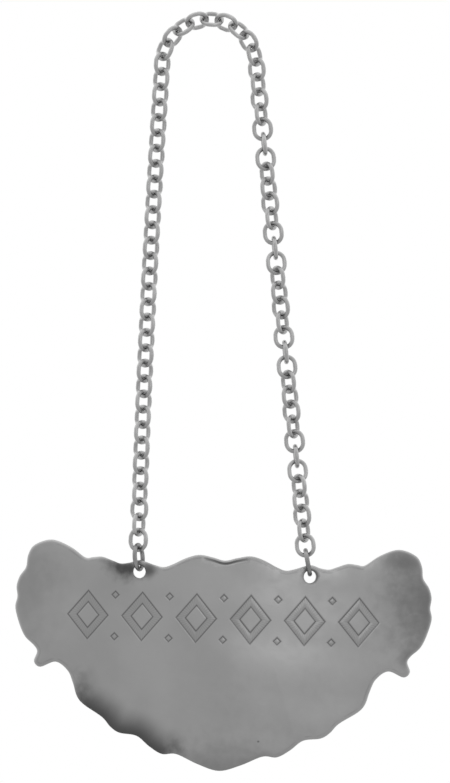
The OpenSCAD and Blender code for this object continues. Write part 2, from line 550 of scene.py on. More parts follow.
class WireLoopTree:
    """Geometry Nodes that put a wire loop, or a dark grain of painted shade, on every point of a
    seed mesh.
    """

    TURN = "turn"
    SIZE = "size"
    SHADE_GRAIN = "shade_grain"
    SHADE_GRAIN_SEGMENTS = 12
    SHADE_GRAIN_RINGS = 8
    HOLLOW_START = -0.2  # from the middle of the wire to its inside, in radii of the wire
    HOLLOW_OUTSIDE = 0.3  # what the mark keeps on the outside of an end
    END_START = 0.35  # how far past the straight sides the mark starts, in radii of an end
    SHOULDER_HIGHLIGHT_SPAN = (0.3, 0.5)  # where the shoulders' painted highlight starts and ends, in the same measure

    def __init__(self) -> None:
        """Builds the tree with a named input for each size."""
        self.tree = bpy.data.node_groups.new("wire_loops", "GeometryNodeTree")
        self._declare()
        self._build()

    def _declare(self) -> None:
        sockets = self.tree.interface
        sockets.new_socket("Seeds", in_out="INPUT", socket_type="NodeSocketGeometry")
        for name in ("Length", "Width", "Wire", "Seam Length", "Seam Swell"):
            sockets.new_socket(name, in_out="INPUT", socket_type="NodeSocketFloat")
        for name in ("Path Steps", "Section Steps", "Seed"):
            sockets.new_socket(name, in_out="INPUT", socket_type="NodeSocketInt")
        sockets.new_socket("Finish", in_out="INPUT", socket_type="NodeSocketMaterial")
        sockets.new_socket("Loops", in_out="OUTPUT", socket_type="NodeSocketGeometry")

    def _build(self) -> None:
        """Links the path, the wire round it, the marks and the instances."""
        graph = Graph(self.tree)
        given = graph.add("NodeGroupInput").outputs
        end_radius = self._half(graph, given["Width"], given["Wire"])
        half_side = self._half(graph, given["Length"], given["Width"])
        half_wire = self._half(graph, given["Wire"], 0.0)
        loop = self._wire(graph, given, end_radius, half_side, half_wire)
        # Painted shade inside the loop's ends.
        hollow = self._crevice_shade(graph, end_radius, half_side, half_wire)
        loop = self._store(graph, loop, MeshMark.HOLLOW, hollow, "POINT")
        # Marks the shoulders for the painted highlight.
        shoulder_highlight = self._shoulder_highlight(graph, end_radius, half_side)
        loop = self._store(graph, loop, MeshMark.SHOULDER_HIGHLIGHT, shoulder_highlight, "POINT")
        grain = graph.out(
            "GeometryNodeMeshUVSphere",
            {"Segments": self.SHADE_GRAIN_SEGMENTS, "Rings": self.SHADE_GRAIN_RINGS, "Radius": 1.0},
        )
        # The grains are painted dark all over, as shade in the crevice.
        grain = self._store(graph, grain, MeshMark.HOLLOW, 1.0, "POINT")
        is_grain = self._read(graph, self.SHADE_GRAIN, "BOOLEAN")
        is_loop = graph.out("FunctionNodeBooleanMath", {"Boolean": is_grain}, operation="NOT")
        tone = graph.out(
            "FunctionNodeRandomValue",
            {"Min": 0.0, "Max": 1.0, "Seed": given["Seed"]},
            data_type="FLOAT",
        )
        joined = graph.add("GeometryNodeJoinGeometry")
        for shape, chosen in ((loop, is_loop), (grain, is_grain)):
            placed = graph.out(
                "GeometryNodeInstanceOnPoints",
                {
                    "Points": given["Seeds"],
                    "Selection": chosen,
                    "Instance": shape,
                    "Rotation": self._read(graph, self.TURN, "QUATERNION"),
                    "Scale": self._read(graph, self.SIZE, "FLOAT_VECTOR"),
                },
            )
            placed = self._store(graph, placed, MeshMark.TONE, tone, "INSTANCE")
            graph.feed(joined.inputs[0], placed)
        loops = graph.out("GeometryNodeRealizeInstances", {"Geometry": joined.outputs[0]})
        loops = graph.out("GeometryNodeSetShadeSmooth", {"Geometry": loops, "Shade Smooth": True})
        loops = graph.out(
            "GeometryNodeSetMaterial", {"Geometry": loops, "Material": given["Finish"]}
        )
        graph.add("NodeGroupOutput", {"Loops": loops})

    @staticmethod
    def _half(graph: Graph, first: Socket, second: object) -> Socket:
        """Half the difference between two lengths."""
        return graph.math("MULTIPLY", graph.math("SUBTRACT", first, second), 0.5)

    @staticmethod
    def _read(graph: Graph, name: str, kind: str) -> Socket:
        """One of the seeds' attributes."""
        return graph.out("GeometryNodeInputNamedAttribute", {"Name": name}, data_type=kind)

    @staticmethod
    def _store(
        graph: Graph, shape: Socket, mark: MeshMark, value: object, domain: str
    ) -> Socket:
        """Stores a mark on a shape.

        Args:
            graph: The tree's graph.
            shape: The shape.
            mark: The mark.
            value: Its value.
            domain: What carries it: points or instances.

        Returns:
            The shape with its mark.
        """
        return graph.out(
            "GeometryNodeStoreNamedAttribute",
            {"Geometry": shape, "Name": mark.value, "Value": value},
            data_type="FLOAT",
            domain=domain,
        )

    @staticmethod
    def _wire(
        graph: Graph,
        given: bpy.types.NodeOutputs,
        end_radius: Socket,
        half_side: Socket,
        half_wire: Socket,
    ) -> Socket:
        """The loop's wire, swelling a little at its seam.

        Args:
            graph: The tree's graph.
            given: The tree's inputs.
            end_radius: Radius of the loop's ends through the middle of the wire.
            half_side: Half the length of its straight sides.
            half_wire: Radius of the wire.

        Returns:
            The wire's mesh, in the XY plane with its length along Y.
        """
        path = graph.out(
            "GeometryNodeCurvePrimitiveCircle",
            {"Resolution": given["Path Steps"], "Radius": end_radius},
        )
        place = graph.out("GeometryNodeInputPosition")
        across = graph.add("ShaderNodeSeparateXYZ", {"Vector": place}).outputs
        slide = graph.math("MULTIPLY", graph.math("SIGN", across["Y"]), half_side)
        path = graph.out(
            "GeometryNodeSetPosition",
            {"Geometry": path, "Offset": graph.out("ShaderNodeCombineXYZ", {"Y": slide})},
        )
        seam = graph.out("ShaderNodeCombineXYZ", {"X": end_radius})
        from_seam = graph.vector("DISTANCE", place, seam)
        near_seam = graph.ramp(from_seam, given["Seam Length"], 0.0)
        swell = graph.math("ADD", graph.math("MULTIPLY", near_seam, given["Seam Swell"]), 1.0)
        section = graph.out(
            "GeometryNodeCurvePrimitiveCircle",
            {"Resolution": given["Section Steps"], "Radius": half_wire},
        )
        return graph.out(
            "GeometryNodeCurveToMesh", {"Curve": path, "Profile Curve": section, "Scale": swell}
        )

    @staticmethod
    def _past_side(graph: Graph, half_side: Socket) -> tuple[Socket, Socket]:
        """Finds where each point of a loop lies.

        Args:
            graph: The tree's graph.
            half_side: Half the length of the loop's straight sides.

        Returns:
            How far it lies across the loop, and how far past the straight sides.
        """
        place = graph.out("GeometryNodeInputPosition")
        across = graph.add("ShaderNodeSeparateXYZ", {"Vector": place}).outputs
        past = graph.math("SUBTRACT", graph.math("ABSOLUTE", across["Y"]), half_side)
        return across["X"], graph.math("MAXIMUM", past, 0.0)

    def _crevice_shade(
        self, graph: Graph, end_radius: Socket, half_side: Socket, half_wire: Socket
    ) -> Socket:
        """Marks the inside of the loop's ends, where the next wire sits, for painted shade.

        Args:
            graph: The tree's graph.
            end_radius: Radius of the loop's ends through the middle of the wire.
            half_side: Half the length of its straight sides.
            half_wire: Radius of the wire.

        Returns:
            1 inside the ends, less on their outside and 0 at the sides.
        """
        across, past_side = self._past_side(graph, half_side)
        squares = [graph.math("POWER", length, 2.0) for length in (across, past_side)]
        radius = graph.math("SQRT", graph.math("ADD", *squares))
        inwards = graph.math("SUBTRACT", end_radius, radius)
        start = graph.math("MULTIPLY", half_wire, self.HOLLOW_START)
        share = graph.ramp(inwards, start, half_wire, self.HOLLOW_OUTSIDE, 1.0)
        start = graph.math("MULTIPLY", end_radius, self.END_START)
        return graph.math("MULTIPLY", share, graph.ramp(past_side, start, end_radius))

    def _shoulder_highlight(self, graph: Graph, end_radius: Socket, half_side: Socket) -> Socket:
        """Marks the loop's shoulders, for a painted highlight.

        Args:
            graph: The tree's graph.
            end_radius: Radius of the loop's ends through the middle of the wire.
            half_side: Half the length of its straight sides.

        Returns:
            1 past the shoulders and 0 at the sides.
        """
        _, past_side = self._past_side(graph, half_side)
        start, end = (graph.math("MULTIPLY", end_radius, share) for share in self.SHOULDER_HIGHLIGHT_SPAN)
        return graph.ramp(past_side, start, end)

    def _seeds(
        self, name: str, poses: Sequence[Matrix], grains: Sequence[Matrix]
    ) -> bpy.types.Mesh:
        """Points that say how each loop and each grain of crust lies.

        Args:
            name: The mesh's name.
            poses: The loops' poses.
            grains: The grains' poses, with their half sizes.

        Returns:
            The points, with their marks.
        """
        placed = [*poses, *grains]
        points = bpy.data.meshes.new(name)
        points.from_pydata([pose.translation for pose in placed], [], [])
        marks = {self.TURN: "QUATERNION", self.SIZE: "FLOAT_VECTOR", self.SHADE_GRAIN: "BOOLEAN"}
        for mark, kind in marks.items():
            points.attributes.new(mark, kind, "POINT")
        turns, sizes, kinds = (points.attributes[mark].data for mark in marks)
        for index, pose in enumerate(placed):
            _, turns[index].value, sizes[index].vector = pose.decompose()
            kinds[index].value = index >= len(poses)
        return points

    def mesh(
        self,
        name: str,
        loop: WireLoop,
        poses: Sequence[Matrix],
        seed: int,
        finish: bpy.types.Material,
        grains: Sequence[Matrix] = (),
    ) -> bpy.types.Object:
        """Puts a loop at each pose and makes the result a plain mesh.

        Args:
            name: The new object's name.
            loop: The loop's sizes.
            poses: Where each loop lies: its width along X, its length along Y.
            seed: Seed of the small differences in tone between loops.
            finish: The loops' material.
            grains: Where each dark grain of painted shade lies, with its half sizes.

        Returns:
            An object at the origin, with its place in its mesh.
        """
        seeds_name = name + "_seeds"
        seeds = put_up(seeds_name, self._seeds(seeds_name, poses, grains))
        modifier = seeds.modifiers.new("wire_loops", "NODES")
        modifier.node_group = self.tree
        values = {
            "Length": loop.length * MM,
            "Width": loop.width * MM,
            "Wire": loop.wire * MM,
            "Seam Length": loop.seam_length * MM,
            "Seam Swell": loop.seam_swell,
            "Path Steps": loop.path_steps,
            "Section Steps": loop.section_steps,
            "Seed": seed,
            "Finish": finish,
        }
        for socket in self.tree.interface.items_tree:
            if socket.name in values:
                modifier[socket.identifier] = values[socket.name]
        depsgraph = bpy.context.evaluated_depsgraph_get()
        made = bpy.data.meshes.new_from_object(
            seeds.evaluated_get(depsgraph), preserve_all_data_layers=True, depsgraph=depsgraph
        )
        seeds.modifiers.remove(modifier)
        bpy.data.objects.remove(seeds)
        made.name = name
        return put_up(name, made)


def bodies() -> dict[str, list[str]]:
    """The record's bodies, each with its CAD nodes."""
    return frame["record"]["behaviour"]["bodies"]


def solids_of(node: str, count: int) -> list[np.ndarray]:
    """Splits a CAD node into its solids from left to right.

    Args:
        node: The node's name.
        count: How many solids it holds: one, or two that lie on either side of its middle.

    Returns:
        Each solid's triangles, as an array of corners in metres.
    """
    mesh = frame["nodes"][node].data
    mesh.calc_loop_triangles()
    corners = np.array([v.co for v in mesh.vertices])
    triangles = corners[np.array([t.vertices for t in mesh.loop_triangles])]
    if count == 1:
        return [triangles]
    low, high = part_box(node)
    on_right = triangles[:, :, 0].mean(axis=1) > (low.x + high.x) / 2
    return [triangles[~on_right], triangles[on_right]]


def loop_pose(triangles: np.ndarray) -> Matrix:
    """Finds how a wire loop lies from its solid's surface.

    Args:
        triangles: The solid's triangles.

    Returns:
        Its middle, with X across the loop, Y along it towards the top and Z square to it.
    """
    edges = triangles[:, 1:] - triangles[:, :1]
    areas = np.linalg.norm(np.cross(edges[:, 0], edges[:, 1]), axis=1)
    centres = triangles.mean(axis=1)
    middle = np.average(centres, axis=0, weights=areas)
    spread = np.cov((centres - middle).T, aweights=areas)
    square, _, along = (Vector(axis) for axis in np.linalg.eigh(spread)[1].T)
    along = along if along.z > 0 else -along
    square = square if square.y < 0 else -square
    pose = Matrix((along.cross(square), along, square)).transposed().to_4x4()
    pose.translation = middle
    return pose


@dataclass
class ConnectingRings:
    """The two round rings that carry the plate from the last links."""

    ring: WireLoop
    finish: SilverFinish
    body: str = "connecting_rings"

    def nodes(self) -> list[str]:
        """The CAD nodes of the left and the right ring."""
        return bodies()[self.body]

    def poses(self) -> list[Matrix]:
        """How the left and the right ring lie."""
        return [loop_pose(solid) for node in self.nodes() for solid in solids_of(node, 1)]

    def build(self, tree: WireLoopTree) -> bpy.types.Object:
        """Makes both rings as one mesh and dresses it."""
        piece = tree.mesh("silver_rings", self.ring, self.poses(), 0, self.finish.material())
        return dress(piece, self.body, self.nodes())


@dataclass
class Chain:
    """The cable chain: links over the crown, and a pair of links at each level of the two legs."""

    link: WireLoop
    finish: SilverFinish
    shade_grain: ShadeGrain
    rings: ConnectingRings
    crown_body: str = "crown"
    pair_prefix: str = "link_pair_"

    def levels(self) -> list[str]:
        """The bodies of the two legs from the crown down."""
        return sorted(body for body in bodies() if body.startswith(self.pair_prefix))

    def grain(self, own: Matrix, other: Matrix, other_loop: WireLoop) -> Matrix:
        """Fits a dark grain of painted shade on a link where the next loop bears on it.

        Args:
            own: How the link lies.
            other: How the next loop lies.
            other_loop: The next loop's sizes.

        Returns:
            The grain's pose.
        """
        reach = Vector((0.0, self.link.bearing(), 0.0))
        ends = (own @ reach, own @ -reach)
        bed = min(ends, key=lambda end: (end - other.translation).length)
        way = (bed - other.translation).normalized()
        return self.shade_grain.pose(bed, other.translation + way * other_loop.bearing())

    def grains(
        self, links: Sequence[Matrix], others: Sequence[Matrix], other_loop: WireLoop
    ) -> list[Matrix]:
        """A dark grain of painted shade on each link, where the other loop of the same place in
        line bears.
        """
        pairs = zip(links, others, strict=True)
        return [self.grain(own, other, other_loop) for own, other in pairs]

    def build(self, tree: WireLoopTree) -> list[bpy.types.Object]:
        """Makes one mesh of links for each body.

        Args:
            tree: The nodes that make wire loops.

        Returns:
            The pieces from the crown down.
        """
        material = self.finish.material()
        nodes = bodies()
        crown = [loop_pose(s) for node in nodes[self.crown_body] for s in solids_of(node, 1)]
        pairs = [
            [loop_pose(solid) for solid in solids_of(nodes[level][0], len(Side))]
            for level in self.levels()
        ]
        grains = self.grains(crown[:-1], crown[1:], self.link)
        grains += self.grains((crown[0], crown[-1]), pairs[0], self.link)
        parts = [(self.crown_body, "crown_links", crown, grains)]
        below = [*pairs[1:], self.rings.poses()]
        loops = [*(self.link for _ in pairs[1:]), self.rings.ring]
        for level, pair, lower, loop in zip(self.levels(), pairs, below, loops, strict=True):
            name = level.replace(self.pair_prefix, "silver_links_")
            parts.append((level, name, pair, self.grains(pair, lower, loop)))
        pieces = []
        for seed, (body, name, poses, grains) in enumerate(parts):
            piece = tree.mesh(name, self.link, poses, seed, material, grains)
            pieces.append(dress(piece, body, nodes[body]))
        return pieces


def dress(piece: bpy.types.Object, body: str, nodes: Sequence[str]) -> bpy.types.Object:
    """Lets a finished piece stand for CAD nodes and move with their body.

    Args:
        piece: The piece, with its place in its mesh.
        body: The body that it moves with.
        nodes: The nodes that it stands for.

    Returns:
        The piece.
    """
    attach(piece, body)
    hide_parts(*nodes)
    return piece


def smooth_loop(points: np.ndarray, steps: int) -> np.ndarray:
    """A smooth closed curve through every point.

    Args:
        points: The points in order.
        steps: Points on the curve for each one given.

    Returns:
        The curve's points.
    """
    before, start = np.roll(points, 1, axis=0), points
    end, after = np.roll(points, -1, axis=0), np.roll(points, -2, axis=0)
    share = (np.arange(steps) / steps)[None, :, None]
    before, start, end, after = (p[:, None, :] for p in (before, start, end, after))
    curve = (
        start
        + (end - before) * share / 2
        + (2 * before - 5 * start + 4 * end - after) * share**2 / 2
        + (3 * start - before - 3 * end + after) * share**3 / 2
    )
    return curve.reshape(-1, 2)


def inward(loop: np.ndarray) -> np.ndarray:
    """Finds the way to the inside of a loop.

    Args:
        loop: The loop's points, running clockwise.

    Returns:
        A unit direction at each point.
    """
    along = np.roll(loop, -1, axis=0) - np.roll(loop, 1, axis=0)
    along /= np.linalg.norm(along, axis=1, keepdims=True)
    return np.stack([along[:, 1], -along[:, 0]], axis=1)


def inside(points: np.ndarray, loop: np.ndarray) -> np.ndarray:
    """Finds which points lie inside a closed loop.

    Args:
        points: The points.
        loop: The loop's points in order.

    Returns:
        True for each point inside.
    """
    x, z = points[:, :1], points[:, 1:]
    start, end = loop, np.roll(loop, -1, axis=0)
    spans = (start[:, 1] > z) != (end[:, 1] > z)
    rise = np.where(end[:, 1] == start[:, 1], 1.0, end[:, 1] - start[:, 1])
    crossing = start[:, 0] + (z - start[:, 1]) * (end[:, 0] - start[:, 0]) / rise
    return (spans & (x < crossing)).sum(axis=1) % 2 == 1


def distances(points: np.ndarray, others: np.ndarray) -> np.ndarray:
    """Measures how far points lie from some others.

    Args:
        points: The points.
        others: The others.

    Returns:
        The distance from each point to the nearest of the others.
    """
    tree = KDTree(len(others))
    for index, other in enumerate(others):
        tree.insert((*other, 0.0), index)
    tree.balance()
    return np.array([tree.find((*point, 0.0))[2] for point in points])


class Sheet:
    """A sheet of silver laid flat: points with a depth below its front, and faces between them."""

    def __init__(self) -> None:
        """Starts with no points."""
        self.flat: list[Place] = []
        self.depth: list[float] = []
        self.hollow: list[float] = []
        self.faces: list[tuple[int, ...]] = []

    def points(self, flat: np.ndarray, depth: Level = 0.0, hollow: Level = 0.0) -> list[int]:
        """Adds points.

        Args:
            flat: Their places.
            depth: Their depth below the front.
            hollow: How far each lies in a hollow that is painted darker, from 0 to 1: oxide in the
                engraving, painted shade in the dents.

        Returns:
            Their numbers.
        """
        first = len(self.flat)
        count = len(flat)
        self.flat.extend(map(tuple, flat))
        self.depth.extend(np.broadcast_to(depth, count))
        self.hollow.extend(np.broadcast_to(hollow, count))
        return list(range(first, first + count))

    def places(self, numbers: Sequence[int]) -> np.ndarray:
        """The places of some points."""
        return np.array([self.flat[n] for n in numbers])

    def walls(self, rings: Sequence[Sequence[int]]) -> None:
        """Joins each closed ring of points to the next with quads.

        Args:
            rings: The rings in order, all with the same number of points.
        """
        for near, far in zip(rings[:-1], rings[1:], strict=True):
            for i in range(len(near)):
                j = (i + 1) % len(near)
                self.faces.append((near[i], near[j], far[j], far[i]))

    def fill(
        self,
        rim: Sequence[int],
        holes: Sequence[Sequence[int]],
        loose: Sequence[int],
        edges: Sequence[Line],
        faces_back: bool = False,
    ) -> None:
        """Fills a face of the sheet with triangles.

        Args:
            rim: The ring of points round the face.
            holes: The ring round each hole in it.
            loose: Other points on the face.
            edges: Lines between points that the triangles keep to.
            faces_back: Whether the triangles face the back.
        """
        rings = [rim, *holes]
        numbers = [n for ring in rings for n in ring] + list(loose)
        local = {n: i for i, n in enumerate(numbers)}
        kept = [(local[a], local[b]) for a, b in edges]
        kept += [(local[r[i - 1]], local[r[i]]) for r in rings for i in range(len(r))]
        places = [Vector(self.flat[n]) for n in numbers]
        filled = delaunay_2d_cdt(places, kept, [], 0, MERGE_DISTANCE)
        corners, _, triangles, sources, _, _ = filled
        corners = np.array(corners)
        middles = corners[np.array(triangles)].mean(axis=1)
        wanted = inside(middles, self.places(rim))
        for hole in holes:
            wanted &= ~inside(middles, self.places(hole))
        for triangle, want in zip(triangles, wanted, strict=True):
            if want:
                face = tuple(numbers[sources[c][0]] for c in triangle)
                self.faces.append(face[::-1] if faces_back else face)


def gathered(cuts: Sequence[Cut]) -> Cut:
    """Several cuts as one."""
    numbers = [number for points, _ in cuts for number in points]
    return numbers, [line for _, lines in cuts for line in lines]


def score(
    sheet: Sheet, line: np.ndarray, square: np.ndarray, rows: Sequence[tuple[float, float, float]]
) -> Cut:
    """Cuts a line that tapers out at both ends into a sheet.

    Args:
        sheet: The sheet that it is cut into.
        line: Points along it.
        square: The direction across it at each point.
        rows: For each row of points, its distance across the line, its depth and its hollow mark.

    Returns:
        The line's points, and the lines between them that the sheet's faces keep to.
    """
    taper = np.sqrt(np.sin(np.linspace(0.0, math.pi, len(line))))
    numbers: list[int] = []
    edges: list[Line] = []
    for across, depth, mark in rows:
        row = sheet.points(line + square * across, depth * taper, mark * taper)
        numbers.extend(row)
        edges.extend(zip(row[:-1], row[1:], strict=True))
    return numbers, edges


@dataclass(frozen=True)
class Dent:
    """A shallow crease in the plate's front, from left to right through places given.

    Its section runs from the top to a raised lip below: how far across it each row of points
    lies, in widths, and its share of the depth and of the mark.
    """

    SECTION = (
        (-1.0, 0.0, 0.0),
        (-0.5, 0.4, 0.4),
        (0.0, 1.0, 1.0),
        (0.5, 0.2, 0.3),
        (1.0, -0.5, 0.0),
        (1.6, 0.0, 0.0),
    )

    places: tuple[Place, ...]
    width: float = 0.45
    depth: float = 0.05
    # The mark paints shade into the crease.
    mark: float = 0.4
    steps: int = 17

    def cut(self, sheet: Sheet) -> Cut:
        """Cuts the crease into a sheet.

        Args:
            sheet: The sheet that it is cut into.

        Returns:
            The crease's points, and the lines between them that the sheet's faces keep to.
        """
        line = np.array(self.places)
        travel = np.linspace(0, len(line) - 1, self.steps)
        line = np.stack([np.interp(travel, range(len(line)), axis) for axis in line.T], axis=1)
        along = np.gradient(line, axis=0)
        along /= np.linalg.norm(along, axis=1, keepdims=True)
        square = np.stack([along[:, 1], -along[:, 0]], axis=1)
        scale = (self.width, self.depth, self.mark)
        rows = [tuple(np.multiply(row, scale)) for row in self.SECTION]
        return score(sheet, line, square, rows)


@dataclass(frozen=True)
class LozengeBand:
    """The engraved band: a row of outlined lozenges, with a small pit above and below each gap."""

    SIDES = 4

    count: int = 6
    pitch: float = 7.55
    width: float = 6.0
    height: float = 7.2
    stroke: float = 1.3
    bead: float = 1.4
    drop: float = 6.2
    depth: float = 0.12
    floor: float = 0.06
    ridge: float = 0.035
    border: float = 0.3
    lip: float = 0.06
    cuts: int = 22
    bead_cuts: int = 4
    border_mark: float = 1.0
    floor_mark: float = 0.08
    cut_mark: float = 0.22

    def lozenge(self, centre: Place, width: float, height: float, cuts: int) -> np.ndarray:
        """Lays points round a lozenge.

        Args:
            centre: Its middle.
            width: Its width.
            height: Its height.
            cuts: Points on each of its sides.

        Returns:
            The points, running anticlockwise from its right corner.
        """
        corners = np.array([(width, 0), (0, height), (-width, 0), (0, -height)]) / 2
        share = (np.arange(cuts) / cuts)[None, :, None]
        sides = corners[:, None, :] * (1 - share) + np.roll(corners, -1, axis=0)[:, None, :] * share
        return sides.reshape(-1, 2) + centre

    def inset(self, distance: float, width: float, height: float) -> float:
        """The share of its size that a lozenge keeps when its sides move in by that distance."""
        return 1 - 2 * distance * math.hypot(width, height) / (width * height)

    def centres(self) -> list[Place]:
        """The middles of the large lozenges."""
        first = -(self.count - 1) / 2 * self.pitch
        return [(first + i * self.pitch, -self.drop) for i in range(self.count)]

    def bead_centres(self) -> list[Place]:
        """Places a small pit above and below each gap.

        Returns:
            The middles of the pits.
        """
        rise = (self.height - self.bead) / 2
        gaps = [(x + self.pitch / 2, z) for x, z in self.centres()[:-1]]
        return [(x, z + up) for x, z in gaps for up in (-rise, rise)]

    def covers(self, points: np.ndarray) -> np.ndarray:
        """Finds what lies on the band.

        Args:
            points: Places on the plate.

        Returns:
            True for each place on a stroke or in a pit.
        """
        covered = np.zeros(len(points), bool)
        inner = self.inset(self.stroke + self.lip, self.width, self.height)
        for x, z in self.centres():
            reach = abs(points[:, 0] - x) * 2 / self.width + abs(points[:, 1] - z) * 2 / self.height
            covered |= (reach > inner) & (reach < self.inset(-self.lip, self.width, self.height))
        for x, z in self.bead_centres():
            covered |= abs(points[:, 0] - x) + abs(points[:, 1] - z) < self.bead / 2 + self.lip
        return covered

    def engrave(self, sheet: Sheet) -> Cut:
        """Cuts the band into a sheet.

        Args:
            sheet: The sheet that it is cut into.

        Returns:
            The band's points, and the lines between them that the sheet's faces keep to.
        """
        cuts = [self._stroke(sheet, centre) for centre in self.centres()]
        cuts += [self._pit(sheet, centre) for centre in self.bead_centres()]
        return gathered(cuts)

    def _cut(
        self,
        sheet: Sheet,
        centre: Place,
        size: tuple[float, float],
        cuts: int,
        profile: Sequence[Ring],
    ) -> tuple[list[list[int]], list[Line]]:
        """Lays rings of points one inside the other.

        Args:
            sheet: The sheet that they are cut into.
            centre: The lozenge's middle.
            size: Its width and height.
            cuts: Points on each of its sides.
            profile: How far inside the lozenge each ring lies, its depth and its hollow mark.

        Returns:
            The rings, and the lines round them.
        """
        rings = []
        for distance, depth, mark in profile:
            width, height = (length * self.inset(distance, *size) for length in size)
            flat = self.lozenge(centre, width, height, cuts)
            rings.append(sheet.points(flat, depth, mark))
        return rings, [(ring[i - 1], ring[i]) for ring in rings for i in range(len(ring))]

    def _groove(self, floor: Level, mark: Level) -> list[Ring]:
        """Draws the profile of a border groove that starts at the front.

        Args:
            floor: Depth of the floor that it ends on.
            mark: The floor's hollow mark.

        Returns:
            The groove's rings from the outside in.
        """
        return [
            (-self.lip, 0.0, 0.0),
            (0.0, 0.0, 0.0),
            (self.border / 2, self.depth, self.border_mark),
            (self.border, floor, mark),
        ]

    def _stroke(self, sheet: Sheet, centre: Place) -> Cut:
        """Cuts one lozenge in outline: a groove along both sides of a floor of cross cuts.

        Args:
            sheet: The sheet that it is cut into.
            centre: The lozenge's middle.

        Returns:
            The lozenge's points, and the lines between them that the sheet's faces keep to.
        """
        hatch = np.arange(self.SIDES * self.cuts) % 2
        floor = self.floor + self.ridge * hatch
        outer = self._groove(floor, self.floor_mark + self.cut_mark * hatch)
        inner = [(self.stroke - inset, depth, mark) for inset, depth, mark in reversed(outer)]
        size = (self.width, self.height)
        rings, edges = self._cut(sheet, centre, size, self.cuts, outer + inner)
        edges.extend(zip(rings[len(outer) - 1], rings[len(outer)], strict=True))
        return [number for ring in rings for number in ring], edges

    def _pit(self, sheet: Sheet, centre: Place) -> Cut:
        """Cuts one small four-sided pit with a groove round its floor.

        Args:
            sheet: The sheet that it is cut into.
            centre: The pit's middle.

        Returns:
            The pit's points, and the lines between them that the sheet's faces keep to.
        """
        profile = self._groove(self.floor, self.floor_mark)
        rings, edges = self._cut(sheet, centre, (self.bead, self.bead), self.bead_cuts, profile)
        bottom = sheet.points(np.array([centre]), self.floor, self.floor_mark)
        return [number for ring in rings for number in ring] + bottom, edges


